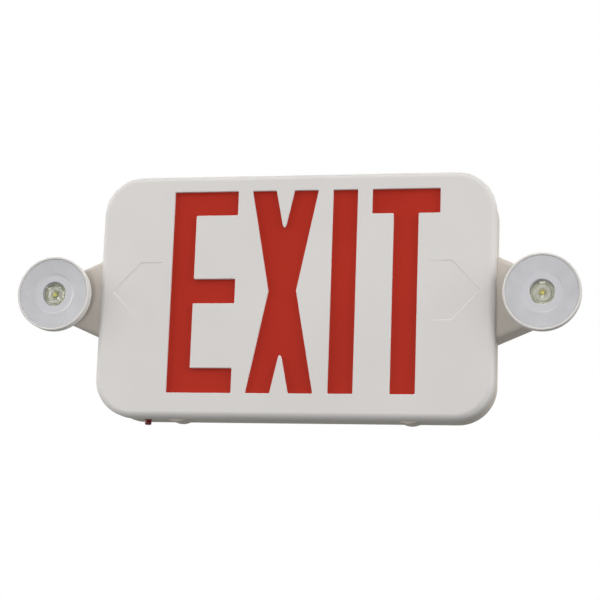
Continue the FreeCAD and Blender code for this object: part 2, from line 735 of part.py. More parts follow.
def cover_hooks(body):
    """Four tabs behind the cover: plain at the top, barbed at the bottom.

    The barbs start as one bar across both latches, and what lies between the hooks is then cut away.
    """
    tabs = new_sketch(body, "tabs", offset=f"{PARTING} - hook_reach + latch_catch")
    inner = f"({HOOK_OUT} - hook_thick)"
    for x in (f"-{LATCH_X}", LATCH_X):
        left, right = (f"{x} {sign} hook_width / 2" for sign in ("-", "+"))
        for side in (-1, 1):
            low, high = f"{side} * {inner}", f"{side} * {HOOK_OUT}"
            polygon(tabs, [(left, low), (right, low), (right, high), (left, high)])
    pad(tabs, f"{COVER_INSIDE} - {PARTING} + hook_reach - latch_catch")
    barbs = new_sketch(body, "barbs", "YZ_Plane")
    catch = f"({PARTING} - latch_catch - tongue_gap)"
    root = f"(hook_thick / 2 - {HOOK_OUT})"
    tip = f"(-({HOOK_OUT} + hook_barb))"
    polygon(barbs, [(root, catch), (tip, catch), (root, f"{catch} - hook_barb_length")])
    pad(barbs, "latch_spread + hook_width", symmetric=True)
    between = new_sketch(body, "between_barbs", "YZ_Plane")
    low, high = f"(-({HOOK_OUT} + 2 * hook_barb))", f"(2 * hook_thick - {HOOK_OUT})"
    front = f"({PARTING} - latch_catch)"
    back = f"({front} - 2 * hook_barb_length)"
    polygon(between, [(low, back), (high, back), (high, front), (low, front)])
    pocket(between, "latch_spread - hook_width", symmetric=True)


def chevrons(body):
    """The outline of a direction arrow scored into each end of the face."""
    sketch = new_sketch(body, "chevrons", offset=FACE)
    slope = "(chevron_sweep / chevron_half)"
    shift = f"(chevron_line * sqrt(1 + {slope}^2))"
    for side in (-1, 1):
        chevron(sketch, side, "chevron_tip", "chevron_half", slope, "chevron_band")
        chevron(sketch, side, f"(chevron_tip - {shift})", "(chevron_half - chevron_line)", slope,
                f"(chevron_band - 2 * {shift})")
    pocket(sketch, "chevron_depth")


def chevron(sketch, side, tip, half, slope, band):
    """One arrow outline, pointing away from the middle."""
    upper, lower = f"(chevron_rise + {half})", f"(chevron_rise - {half})"
    outer = f"{side} * ({tip} - {slope} * {half})"
    inner = f"{side} * ({tip} - {slope} * {half} - {band})"
    polygon(sketch, [(f"{side} * {tip}", "chevron_rise"), (outer, upper), (inner, upper),
                     (f"{side} * ({tip} - {band})", "chevron_rise"), (inner, lower), (outer, lower)])


def legend_diffuser():
    """Red panel behind the face, hung on the cover's pegs."""
    body = new_body("legend_diffuser")
    outline = new_sketch(body, "diffuser_outline", offset=DIFFUSER_BACK)
    rounded_rectangle(outline, DIFFUSER_WIDTH, DIFFUSER_HEIGHT, "diffuser_corner")
    circles(outline, PEGS, "(peg_radius + peg_gap)")
    pad(outline, "diffuser_thick")
    return body


def light_tray():
    """White reflector pan behind the diffuser, with a lip round its mouth."""
    body = new_body("light_tray")
    outline = new_sketch(body, "pan_outline", offset=TRAY_BACK)
    rounded_rectangle(outline, TRAY_WIDTH, TRAY_HEIGHT, "tray_corner")
    pad(outline, "tray_depth")
    lip = new_sketch(body, "pan_lip", offset=f"{TRAY_FRONT} - tray_lip_thick")
    wide, high = (f"({size} + 2 * tray_lip)" for size in (TRAY_WIDTH, TRAY_HEIGHT))
    rounded_rectangle(lip, wide, high, "(tray_corner + tray_lip)")
    pad(lip, "tray_lip_thick")
    inside = new_sketch(body, "pan_inside", offset=TRAY_FRONT)
    wide, high = (f"({size} - 2 * tray_wall)" for size in (TRAY_WIDTH, TRAY_HEIGHT))
    rounded_rectangle(inside, wide, high, "(tray_corner - tray_wall)")
    pocket(inside, "tray_depth - tray_wall")
    holes = new_sketch(body, "pan_holes", offset=TRAY_FLOOR)
    circles(holes, TRAY_POSTS, SCREW_HOLE)
    pocket(holes, "tray_wall")
    return body


def legend_boards():
    """Two strip boards on the tray's floor, each with a row of light-emitting diodes."""
    boards = []
    diodes = []
    pitch = f"strip_length / {STRIP_LEDS}"
    for side in (-1, 1):
        y = f"{side} * strip_spread / 2"
        boards.append(block("strip", "strip_length", "strip_width", "strip_thick", "0", y, TRAY_FLOOR))
        for number in range(STRIP_LEDS):
            x = f"({number} - {(STRIP_LEDS - 1) / 2}) * {pitch}"
            diodes.append(block("strip_led", "led_side", "led_side", "led_height", x, y,
                                f"{TRAY_FLOOR} + strip_thick"))
    group("legend_led_boards", boards)
    group("legend_leds", diodes)


def main_circuit_board():
    """Board that charges the battery and switches the lamps over."""
    body = new_body("main_circuit_board")
    outline = new_sketch(body, "board_outline", offset="board_stand")
    corner = "(board_hole_inset / 2)"
    rounded_rectangle(outline, "board_width", "board_height", corner, BOARD_X, BOARD_Y)
    circles(outline, BOARD_POSTS, SCREW_HOLE)
    pad(outline, "board_thick")
    return body


def transformer():
    """Laminated core with its winding standing proud above and below."""
    body = new_body("transformer")
    x = f"({BOARD_X} + board_width / 2 - board_hole_inset - transformer_width / 2)"
    y = f"({BOARD_Y} + board_height / 2 - 2 * board_hole_inset - coil_bulge - transformer_height / 2)"
    core = new_sketch(body, "core", offset=BOARD_FRONT)
    rounded_rectangle(core, "transformer_width", "transformer_height", "seat_gap", x, y)
    pad(core, "transformer_tall")
    coil = new_sketch(body, "coil", offset=f"{BOARD_FRONT} + seat_gap")
    high = "(transformer_height + 2 * coil_bulge)"
    rounded_rectangle(coil, "(transformer_width / 2)", high, "(coil_bulge / 2)", x, y)
    pad(coil, "transformer_tall - 2 * seat_gap")
    return body


def board_components():
    """Capacitors, transfer relay and mains terminal block on the board."""
    left = f"({BOARD_X} - board_width / 2 + board_hole_inset)"
    cans = []
    for number in range(CAPACITORS):
        y = f"{BOARD_Y} + ({number} - {(CAPACITORS - 1) / 2}) * (2 * capacitor_radius + capacitor_gap)"
        x = f"{left} + capacitor_radius"
        cans.append(cylinder("can", "capacitor_radius", "capacitor_tall", x, y, BOARD_FRONT))
    group("capacitors", cans)
    relay_x = f"({BOARD_X} + relay_width)"
    relay_y = f"({BOARD_Y} - relay_height)"
    relay = block("relay_case", "relay_width", "relay_height", "relay_tall", relay_x, relay_y, BOARD_FRONT)
    eased = doc.addObject("Part::Chamfer", "relay_edges")
    eased.Base = relay
    doc.recompute()
    width = value(relay, "seat_gap")
    eased.Edges = [(number, width, width) for number in range(1, len(relay.Shape.Edges) + 1)]
    finish(eased, "transfer_relay")
    body = new_body("terminal_block")
    x = f"({left} + terminal_width / 2)"
    y = f"({BOARD_Y} + board_height / 2 - board_hole_inset - terminal_height)"
    outline = new_sketch(body, "terminal_outline", offset=BOARD_FRONT)
    rounded_rectangle(outline, "terminal_width", "terminal_height", "seat_gap", x, y)
    pad(outline, "terminal_tall")
    wells = new_sketch(body, "terminal_wells", offset=f"{BOARD_FRONT} + terminal_tall")
    for number in range(TERMINALS):
        step = f"({number} - {(TERMINALS - 1) / 2}) * terminal_width / {TERMINALS}"
        circle(wells, f"{x} + {step}", y, "terminal_well_radius")
    pocket(wells, "terminal_well_depth")


def test_switch():
    """Switch at the board's low edge, the plunger in it and the lit button that pushes the plunger."""
    wall_inside = f"({INNER_HEIGHT} / 2)"
    flange_top = f"(button_flange_thick - {wall_inside} + seat_gap)"
    board_low = f"(board_low_gap - {wall_inside})"
    body = new_body("test_switch")
    case = new_sketch(body, "switch_case", offset=BOARD_FRONT)
    rounded_rectangle(case, "switch_width", "switch_length", "seat_gap", BUTTON_X,
                      f"({board_low} + switch_length / 2)")
    pad(case, f"2 * (button_stand - {BOARD_FRONT})")
    bore = new_sketch(body, "switch_bore", "XZ_Plane", f"-{board_low}")
    circle(bore, BUTTON_X, "button_stand", "(plunger_radius + running_gap)")
    pocket(bore, "plunger_length + button_travel")
    plunger_low = f"({board_low} - button_travel - seat_gap)"
    plunger = new_body("switch_plunger")
    rod = new_sketch(plunger, "plunger_rod", "XZ_Plane", f"-{plunger_low}")
    circle(rod, BUTTON_X, "button_stand", "plunger_radius")
    pad(rod, "plunger_length", flip=True)
    button = new_body("test_button")
    stem = new_sketch(button, "button_stem", "XZ_Plane", f"-{plunger_low}")
    circle(stem, BUTTON_X, "button_stand", "button_radius")
    pad(stem, f"{HOUSING_HEIGHT} / 2 + button_proud + {plunger_low}")
    tip = level_edges_along_y(button, f"-({HOUSING_HEIGHT} / 2 + button_proud)")
    fillet(button, tip, "button_tip_round")
    flange = new_sketch(button, "button_flange", "XZ_Plane", f"-{flange_top}")
    circle(flange, BUTTON_X, "button_stand", "button_flange_radius")
    pad(flange, "button_flange_thick")


def level_edges_along_y(body, level):
    """Names of the edges that lie in a horizontal plane of the wall frame."""
    height = value(body, level)
    names = []
    for number, edge in enumerate(body.Tip.Shape.Edges, start=1):
        box = edge.BoundBox
        if max(abs(box.YMin - height), abs(box.YMax - height)) < TOLERANCE:
            names.append(f"Edge{number}")
    return names


def battery():
    """Sealed pack of cells side by side, and the strap that holds it down."""
    cells = []
    for number in range(CELLS):
        x = f"{BATTERY_X} + (2 * {number} - {CELLS - 1}) * cell_radius"
        cell = primitive("Part::Cylinder", "cell", {"Radius": "cell_radius", "Height": "cell_length"},
                         x, "cell_length / 2 - battery_drop", f"{BATTERY_BACK} + cell_radius")
        cell.Placement.Rotation = Rotation(Vector(1, 0, 0), 90)
        cells.append(cell)
    sleeve = block("sleeve", f"({2 * (CELLS - 1)} * cell_radius)", "cell_length", "(2 * cell_radius)",
                   BATTERY_X, "(-battery_drop)", BATTERY_BACK)
    finish(fuse("pack", cells + [sleeve]), "battery_pack")
    body = new_body("battery_strap")
    profile = new_sketch(body, "strap_profile", "XZ_Plane", "battery_drop - strap_width / 2")
    top = f"({BATTERY_BACK} + 2 * cell_radius + seat_gap)"
    outer = f"({STRAP_INNER} + strap_thick)"
    end = f"({outer} + strap_foot)"
    below = [(end, STRAP_FOOT), (STRAP_INNER, STRAP_FOOT), (STRAP_INNER, top)]
    above = [(outer, f"{top} + strap_thick"), (outer, f"{STRAP_FOOT} + strap_thick"),
             (end, f"{STRAP_FOOT} + strap_thick")]
    outline = below + mirrored(below) + mirrored(above) + above
    polygon(profile, [(f"{BATTERY_X} + {x}", z) for x, z in outline])
    pad(profile, "strap_width")
    holes = new_sketch(body, "strap_holes", offset=f"{STRAP_FOOT} + strap_thick")
    circles(holes, STRAP_POSTS, SCREW_HOLE)
    pocket(holes, "strap_thick")


def mirrored(points):
    """The same points on the other side of the pack, in the opposite order."""
    return [(f"-{x}", z) for x, z in reversed(points)]


def arm_covers():
    """Plates that close the arms from behind, each with its screw hole."""
    for side, name in ((-1, "left_arm_cover"), (1, "right_arm_cover")):
        body = new_body(name)
        outline = new_sketch(body, "plate_outline", offset="arm_cover_inset")
        arm_inside(outline, side, "tongue_gap")
        circle(outline, f"{side} * {ARM_POST_X}", "0", SCREW_HOLE)
        pad(outline, "arm_cover_thick")


def swivel_turret(side, x):
    """Flanged stem that turns in the arm's face, with two cheeks for the tilt pin."""
    body = new_body(f"{side}_swivel_turret", x, ARM_FACE)
    low = "(seat_gap - swivel_recess_depth)"
    top = f"({low} + flange_thick)"
    clip_front = f"(-({SWIVEL_BACK} + seat_gap))"
    clip_back = f"({clip_front} - clip_thick - 2 * running_gap)"
    end = f"({clip_back} - stem_end)"
    flange = "(swivel_recess_radius - tongue_gap)"
    half = new_sketch(body, "turret_profile", "XZ_Plane")
    polygon(half, [("stem_bore", end), ("stem_radius", end), ("stem_radius", clip_back),
                   ("clip_groove_radius", clip_back), ("clip_groove_radius", clip_front),
                   ("stem_radius", clip_front), ("stem_radius", low), (flange, low), (flange, top),
                   ("stem_bore", top)])
    revolve(half)
    for sign in (-1, 1):
        near = f"{sign} * ({PIN_HALF} - cheek_thick / 2)"
        cheek = new_sketch(body, "cheek", "YZ_Plane", near)
        ear_outline(cheek, "cheek_radius", "pivot_stand", f"({top} - flange_thick / 2)", math.pi)
        pad(cheek, "cheek_thick", symmetric=True)
    hole = new_sketch(body, "pin_hole", "YZ_Plane")
    circle(hole, "0", "pivot_stand", "(pin_radius + running_gap)")
    pocket(hole, f"2 * {PIN_HALF} + seat_gap", symmetric=True)
    return clip_front


def ear_outline(sketch, radius, centre_z, root_z, turn):
    """A lug with one round end; turn is pi where it points outwards and 0 where it points back."""
    start = 0.0 if turn else math.pi
    arc = held_arc(sketch, "0", centre_z, radius, start, start + math.pi)
    root = value(sketch, root_z)
    ends = [arc_point(sketch, arc, end) for end in (1, 2)]
    lines = [sketch.addGeometry(Part.LineSegment(Vector(point.x, root, 0), point)) for point in ends]
    for end, line in enumerate(lines, start=1):
        join_tangent(sketch, line, 2, arc, end)
        drive(sketch, "DistanceY", -1, 1, line, 1, by=root_z)
    close_between(sketch, *lines)


def turret_clip(side, x, front):
    """Open spring ring that keeps the turret in its bore."""
    body = new_body(f"{side}_turret_clip", x, ARM_FACE)
    ring = new_sketch(body, "ring", offset=f"{front} - clip_thick - running_gap")
    circle(ring, "0", "0", "clip_outer_radius")
    circle(ring, "0", "0", "(clip_groove_radius + running_gap)")
    pad(ring, "clip_thick")
    mouth = new_sketch(body, "mouth", offset=front)
    half = "(clip_mouth / 2)"
    far = "(2 * clip_outer_radius)"
    polygon(mouth, [(f"-{half}", "0"), (half, "0"), (half, far), (f"-{half}", far)])
    pocket(mouth, "2 * clip_thick")
    return body


def tilt_pin(side, x):
    """Pin through the lamp's lug and both cheeks."""
    body = new_body(f"{side}_tilt_pin", x, PIVOT)
    section = new_sketch(body, "pin_section", "YZ_Plane")
    circle(section, "0", "0", "pin_radius")
    pad(section, f"2 * {PIN_HALF}", symmetric=True)
    return body


def lamp_shell(side, x):
    """Round lamp case: rim, ledge for the dish, domed back and the lug of the tilt joint."""
    body = new_body(f"{side}_lamp_shell", x, PIVOT)
    ledge = f"({LAMP_MOUTH} - lamp_ledge)"
    seat = f"({DISH_FRONT} - dish_thick)"
    shelf = "(lamp_board_radius + seat_gap)"
    half = new_sketch(body, "shell_profile", "XZ_Plane")
    polygon(half, [("0", LAMP_BACK), ("lamp_tail_radius", LAMP_BACK), ("lamp_radius", LAMP_RIM),
                   ("lamp_radius", LAMP_FRONT), (LAMP_MOUTH, LAMP_FRONT), (LAMP_MOUTH, seat), (ledge, seat),
                   (ledge, f"({LAMP_RIM} + lamp_wall)"), (shelf, LAMP_FLOOR), ("0", LAMP_FLOOR)], domes=(1,))
    revolve(half)
    fillet(body, level_edges(body, LAMP_RIM, "lamp_radius"), "lamp_back_round")
    fillet(body, level_edges(body, LAMP_FRONT), "lamp_edge_round")
    lug = new_sketch(body, "lug", "YZ_Plane")
    ear_outline(lug, "lug_radius", "0", f"({LAMP_BACK} + lamp_wall / 2)", 0)
    pad(lug, "lug_thick", symmetric=True)
    hole = new_sketch(body, "lug_hole", "YZ_Plane")
    circle(hole, "0", "0", "pin_radius")
    pocket(hole, "lug_thick", symmetric=True)
    return body


def lamp_dish(side, x):
    """Shallow reflector dish with a raised inner ring and a throat round the lens."""
    body = new_body(f"{side}_lamp_dish", x, PIVOT)
    rim = f"({LAMP_MOUTH} - seat_gap / 2)"
    seat = f"({DISH_FRONT} - dish_thick)"
    lip = f"({LAMP_MOUTH} - dish_lip)"
    ring = f"({DISH_FRONT} - dish_drop)"
    floor = f"({ring} - dish_step)"
    neck = "(lens_radius + seat_gap)"
    low = f"({LAMP_BOARD_FRONT} + lens_shoulder)"
    half = new_sketch(body, "dish_profile", "XZ_Plane")
    polygon(half, [(rim, DISH_FRONT), ("dish_ring_radius", ring), ("dish_ring_radius", floor),
                   ("throat_radius", floor), (neck, low), (f"({neck} + throat_wall)", low),
                   ("(throat_radius + throat_wall)", f"({floor} - throat_wall)"),
                   (f"({lip} - dish_thick)", f"({seat} - dish_thick)"), (lip, seat), (rim, seat)])
    revolve(half)
    return body


def lamp_lens(side, x):
    """Clear domed lens over the light-emitting diode."""
    body = new_body(f"{side}_lamp_lens", x, PIVOT)
    inner = "(lens_radius - lens_wall)"
    base = LAMP_BOARD_FRONT
    roof = f"({base} + led_base_height + led_dome_radius + seat_gap)"
    half = new_sketch(body, "lens_profile", "XZ_Plane")
    polygon(half, [(inner, base), ("lens_radius", base), ("lens_radius", f"({base} + lens_shoulder)"),
                   ("0", f"({base} + lens_height)"), ("0", roof), (inner, roof)], domes=(2,))
    revolve(half)
    return body


def lamp_light(side, x):
    """Round board and the light-emitting diode in the middle of it."""
    board = new_body(f"{side}_lamp_board", x, PIVOT)
    disc = new_sketch(board, "disc", offset=LAMP_FLOOR)
    circle(disc, "0", "0", "lamp_board_radius")
    pad(disc, "lamp_board_thick")
    diode = new_body(f"{side}_lamp_led", x, PIVOT)
    base = LAMP_BOARD_FRONT
    shoulder = f"({base} + led_base_height)"
    half = new_sketch(diode, "led_profile", "XZ_Plane")
    polygon(half, [("0", base), ("led_base_radius", base), ("led_base_radius", shoulder),
                   ("led_dome_radius", shoulder), ("0", f"({shoulder} + led_dome_radius)")], domes=(3,))
    revolve(half)


def lamp_head(side, sign):
    """One swivelling, tilting lamp head on the arm of that side."""
    x = f"{sign} * {ARM_REACH}"
    clip_front = swivel_turret(side, x)
    turret_clip(side, x, clip_front)
    tilt_pin(side, x)
    lamp_shell(side, x)
    lamp_dish(side, x)
    lamp_lens(side, x)
    lamp_light(side, x)


def build():
    """Make every piece of the light."""
    make_sheet()
    rear_housing()
    front_cover()
    legend_diffuser()
    light_tray()
    legend_boards()
    main_circuit_board()
    transformer()
    board_components()
    test_switch()
    battery()
    arm_covers()
    screws("tray_screws", TRAY_POSTS, TRAY_FLOOR)
    screws("board_screws", BOARD_POSTS, BOARD_FRONT)
    screws("strap_screws", STRAP_POSTS, f"({STRAP_FOOT} + strap_thick)")
    screws("arm_cover_screws", ARM_POSTS, "arm_cover_inset", towards_wall=False)
    lamp_head("left", -1)
    lamp_head("right", 1)
    doc.recompute()


def check():
    """Stop at any object that failed and any sub-part that isn't a valid solid."""
    for item in doc.Objects:
        if {"Invalid", "Error"} & set(item.State):
            raise RuntimeError(f"{item.Label} failed: {item.State}")
    for node in nodes:
        if node.Shape.isNull() or not node.Shape.isValid() or not node.Shape.Solids:
            raise RuntimeError(f"{node.Label} is not a valid solid")


def write():
    """Write each sub-part to a STEP file of its own."""
    os.makedirs("parts", exist_ok=True)
    for node in nodes:
        node.Shape.exportStep(f"parts/{node.Label}.step")
        print(f"{node.Label}: {len(node.Shape.Solids)} solid, {node.Shape.Volume:.0f} mm3")


build()
check()
write()
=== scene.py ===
"""Dresses the emergency exit light: its cut-out legend, its lamp dishes and lenses, and every finish."""

import math
from contextlib import contextmanager

import bmesh
import bpy
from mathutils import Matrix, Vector


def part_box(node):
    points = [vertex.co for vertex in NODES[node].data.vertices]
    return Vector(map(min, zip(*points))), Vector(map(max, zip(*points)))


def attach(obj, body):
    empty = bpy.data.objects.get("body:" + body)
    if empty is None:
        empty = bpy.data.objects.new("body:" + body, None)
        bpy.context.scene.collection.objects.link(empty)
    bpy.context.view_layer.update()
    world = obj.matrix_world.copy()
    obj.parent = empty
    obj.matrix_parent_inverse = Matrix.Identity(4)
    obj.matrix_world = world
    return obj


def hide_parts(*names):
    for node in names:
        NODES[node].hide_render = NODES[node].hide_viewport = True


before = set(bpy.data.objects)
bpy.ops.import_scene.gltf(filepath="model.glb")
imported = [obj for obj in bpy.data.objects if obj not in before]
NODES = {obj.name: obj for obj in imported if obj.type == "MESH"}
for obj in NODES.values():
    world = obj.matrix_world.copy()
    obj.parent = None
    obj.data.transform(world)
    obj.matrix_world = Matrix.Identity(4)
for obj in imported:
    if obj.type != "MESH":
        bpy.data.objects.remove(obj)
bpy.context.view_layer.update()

MM = 0.001

# Sizes are in millimetres and turns in degrees, down to the studio's. Loose triangles that lie within the
# skin gap are one skin. Shading is smooth up to the smooth turn, and a sharp turn is a corner.
SKIN_GAP = 0.002
SMOOTH_TURN = 35
SHARP_TURN = 50

# Legend: capitals of the height that exit signs carry, cut right through the cover's face.
LEGEND_CENTRE = (7.5, 2.9)
LETTER_HALF_HEIGHT = 78.25
STROKE = 19.0
ARM_HALF = 9.5
LETTER_CORNER = 0.8
E_SPAN = (-103.3, -52.6)
E_STEM = 18.1
X_CENTRE = -15.8
X_TOP = (25.9, 7.0)
X_WAIST = 10.8
X_NOTCH = 44.8
X_NOTCH_TIP = 3.2
I_SPAN = (21.3, 40.4)
T_SPAN = (51.5, 103.3)
T_STEM = (68.0, 87.0)
FACE_Y = -42.0
FACE_WALL = 2.2
CUT_EDGE_ROUND = 0.4
CUTTER_SPARE = (1.0, 0.6)

# Chevrons: scored outlines at either side of the legend, made the soft edges of sunk bands.
CHEVRON_REACH = (101.0, 143.0)
CHEVRON_HALF = 22.9
CHEVRON_LINE = 0.6
CHEVRON_DEPTH = 0.2
CHEVRON_SINK = 0.3

# Lamp dish: a shallow fluted cone, a ring one step lower, and the throat round the lens.
DISH_RADIUS = 26.95
DISH_THICK = 1.4
DISH_FALL = 1.5
DISH_LIP = 24.6
RING_RADIUS = 15.0
RING_STEP = 0.4
THROAT_RADIUS = 9.4
THROAT_NECK = 9.0
THROAT_WALL = 1.2
EDGE_ROUND = 0.2
RING_ROUND = 0.8
FLUTES = 72
FLUTE_STEPS = 4
FLUTE_DEPTH = 0.08
FLUTE_ENDS = (16.8, 25.7)

# Lens: a dome on a flange that fills the throat, over the diode's pocket.
LENS_DOME = (6.4, 2.6)
LENS_DOME_SEAT = 0.2
LENS_RIM = 8.7
LENS_RIM_EASE = (0.3, 0.2)
LENS_FLANGE = 0.9
LENS_FOOT = 5.7
LENS_FOOT_EASE = (0.4, 0.3)
POCKET_RADIUS = 3.3
POCKET_WALL = 1.5
POCKET_EASE = (0.7, 0.4)
POCKET_SHARE = 0.63
POLE_RADIUS = 0.01

# Lamps: how far the line of each stands from the middle, and the diode's chip.
LAMP_X = 187.2
CHIP_RADIUS = 1.3
ZONE_BLEND = 0.05

# Studio, in metres, degrees and watts.
FLOOR_LEVEL = -1.4
FLOOR_SIZE = 24
FLOOR_GLOW = 0.62
WORLD_LIGHT = 0.18
SOFT_BOXES = {
    "left_box": {"place": (-1.6, -0.6, 0.55), "size": 1.0, "power": 19.6},
    "right_box": {"place": (1.6, -0.6, 0.55), "size": 1.0, "power": 18},
    "top_box": {"place": (0, -0.8, 1.7), "size": 1.2, "power": 11},
    "front_box": {"place": (0.1, -1.75, -0.5), "size": 0.5, "power": 9.5},
    "back_box": {"place": (0, 1.6, 0.9), "size": 1.4, "power": 20},
}
CAMERA_SENSOR = 36
CAMERA_LENS = 101.56
CAMERA_PLACE = (0.26108, -1.26879, -0.24547)
CAMERA_TURN = (100.8992, -1.9934, 11.3659)
WHITE = (1, 1, 1, 1)


# ---------------------------------------------------------------- modelling by hand

def select_alone(piece):
    bpy.ops.object.select_all(action="DESELECT")
    piece.select_set(True)
    bpy.context.view_layer.objects.active = piece


@contextmanager
def editing(piece):
    """Edit mode on one piece, with nothing selected in it."""
    select_alone(piece)
    bpy.ops.object.mode_set(mode="EDIT")
    bpy.ops.mesh.select_all(action="DESELECT")
    yield
    bpy.ops.object.mode_set(mode="OBJECT")


def pick(piece, kind, wanted):
    """Selects the vertices, edges or faces of the edited piece that wanted accepts, and no others."""
    modes = {"verts": "VERT", "edges": "EDGE", "faces": "FACE"}
    bpy.ops.mesh.select_mode(type=modes[kind])
    bpy.ops.mesh.select_all(action="DESELECT")
    shape = bmesh.from_edit_mesh(piece.data)
    for element in getattr(shape, kind):
        if wanted(element):
            element.select_set(True)
    shape.select_flush_mode()
    bmesh.update_edit_mesh(piece.data)


def near(value, target, within=0.02):
    """Whether a place in metres is at a target in millimetres."""
    return abs(value / MM - target) < within


def turns_sharply(edge):
    """Whether an edge joins two faces at a corner that the eye sees."""
    return len(edge.link_faces) == 2 and edge.calc_face_angle() > math.radians(SHARP_TURN)


def block(name, low, high):
    """A block between two corners in millimetres, with its place in its mesh."""
    middle = [(a + b) / 2 * MM for a, b in zip(low, high)]
    size = [(b - a) * MM for a, b in zip(low, high)]
    bpy.ops.object.select_all(action="DESELECT")
    bpy.ops.mesh.primitive_cube_add(size=1, location=middle, scale=size)
    piece = bpy.context.object
    piece.name = name
    bpy.ops.object.transform_apply(location=True, rotation=True, scale=True)
    return piece


def cut_all(point, normal, **options):
    """Bisects everything in the edited piece by a plane through a point in millimetres."""
    bpy.ops.mesh.select_all(action="SELECT")
    bpy.ops.mesh.bisect(
        plane_co=[c * MM for c in point], plane_no=Vector(normal).normalized(), **options
    )


def apply_modifier(piece, kind, **settings):
    """Adds a modifier with its settings and applies it."""
    modifier = piece.modifiers.new(kind.title(), kind)
    for name, value in settings.items():
        setattr(modifier, name, value)
    select_alone(piece)
    bpy.ops.object.modifier_apply(modifier=modifier.name)


def join(pieces, name):
    """Makes one piece of several."""
    bpy.ops.object.select_all(action="DESELECT")
    for piece in pieces:
        piece.select_set(True)
    bpy.context.view_layer.objects.active = pieces[0]
    bpy.ops.object.join()
    pieces[0].name = name
    return pieces[0]


def merged_copy(node, name):
    """A copy of a node's mesh with its loose triangles merged into one skin."""
    piece = bpy.data.objects.new(name, NODES[node].data.copy())
    bpy.context.collection.objects.link(piece)
    with editing(piece):
        bpy.ops.mesh.select_all(action="SELECT")
        bpy.ops.mesh.remove_doubles(threshold=SKIN_GAP * MM)
        bpy.ops.mesh.dissolve_limited(angle_limit=math.radians(0.05))
    return piece


def smooth_piece(piece, angle=SMOOTH_TURN):
    """Smooth shading up to an angle, with flat faces kept flat."""
    select_alone(piece)
    bpy.ops.object.shade_smooth_by_angle(angle=math.radians(angle))
    apply_modifier(piece, "WEIGHTED_NORMAL", keep_sharp=True, weight=100)


def smooth_node(piece):
    """Smooth shading on a node's object, by modifiers alone."""
    piece.data.polygons.foreach_set("use_smooth", [True] * len(piece.data.polygons))
    weld = piece.modifiers.new("Merge skin", "WELD")
    weld.merge_threshold = SKIN_GAP * MM
    split = piece.modifiers.new("Sharp edges", "EDGE_SPLIT")
    split.split_angle = math.radians(SMOOTH_TURN)
    split.use_edge_sharp = False
    weighted = piece.modifiers.new("Flat faces", "WEIGHTED_NORMAL")
    weighted.weight = 100


# ---------------------------------------------------------------- legend

def letter_block(name, x, z):
    """A stroke that stands through the cover's face, x and z from the middle of the legend."""
    front = FACE_Y - CUTTER_SPARE[0]
    back = FACE_Y + FACE_WALL + CUTTER_SPARE[1]
    return block(name, (x[0], front, z[0]), (x[1], back, z[1]))


def letter_e():
    """A stem, with three arms drawn out of its side."""
    high = LETTER_HALF_HEIGHT
    letter = letter_block("letter_e", (E_SPAN[0], E_SPAN[0] + E_STEM), (-high, high))
    arms = ((high - STROKE, high), (-ARM_HALF, ARM_HALF), (-high, STROKE - high))
    with editing(letter):
        for low, top in arms:
            for level in (low, top):
                if abs(level) < high:
                    cut_all((0, 0, level), (0, 0, 1))

        def arm_root(face):
            level = face.calc_center_median().z / MM
            return face.normal.x > 0.9 and any(low < level < top for low, top in arms)

        pick(letter, "faces", arm_root)
        reach = (E_SPAN[1] - E_SPAN[0] - E_STEM) * MM
        bpy.ops.mesh.extrude_region_move(TRANSFORM_OT_translate={"value": (reach, 0, 0)})
    return letter


def letter_x():
    """One quarter, cut along its two slopes, and mirrored both ways."""
    high = LETTER_HALF_HEIGHT
    letter = letter_block("letter_x", (-X_TOP[0], 0), (0, high))
    with editing(letter):
        outer = (high, 0, X_TOP[0] - X_WAIST)
        cut_all((-X_WAIST, 0, 0), outer, use_fill=True, clear_inner=True)
        notch = (high - X_NOTCH, 0, X_TOP[1])
        cut_all((0, 0, X_NOTCH), notch, use_fill=True, clear_outer=True)

        def inner_wall(face):
            centre = face.calc_center_median()
            across = face.normal.x > 0.99 and near(centre.x, 0)
            return across or (face.normal.z < -0.99 and near(centre.z, 0))

        pick(letter, "faces", inner_wall)
        bpy.ops.mesh.delete(type="FACE")
        bpy.ops.mesh.select_all(action="SELECT")
        bpy.ops.mesh.remove_doubles(threshold=0.02 * MM)
    apply_modifier(
        letter, "MIRROR", use_axis=(True, False, True), use_mirror_merge=True, merge_threshold=0.01 * MM
    )
    letter.location.x = X_CENTRE * MM
    select_alone(letter)
    bpy.ops.object.transform_apply(location=True, rotation=False, scale=False)
    return letter


def letter_i():
    """One plain stroke."""
    return letter_block("letter_i", I_SPAN, (-LETTER_HALF_HEIGHT, LETTER_HALF_HEIGHT))


def letter_t():
    """A bar, with its stem drawn down from the middle."""
    high = LETTER_HALF_HEIGHT
    letter = letter_block("letter_t", T_SPAN, (high - STROKE, high))
    with editing(letter):
        for x in T_STEM:
            cut_all((x, 0, 0), (1, 0, 0))

        def stem_root(face):
            return face.normal.z < -0.9 and T_STEM[0] < face.calc_center_median().x / MM < T_STEM[1]

        pick(letter, "faces", stem_root)
        drop = (STROKE - 2 * high) * MM
        bpy.ops.mesh.extrude_region_move(TRANSFORM_OT_translate={"value": (0, 0, drop)})
    return letter


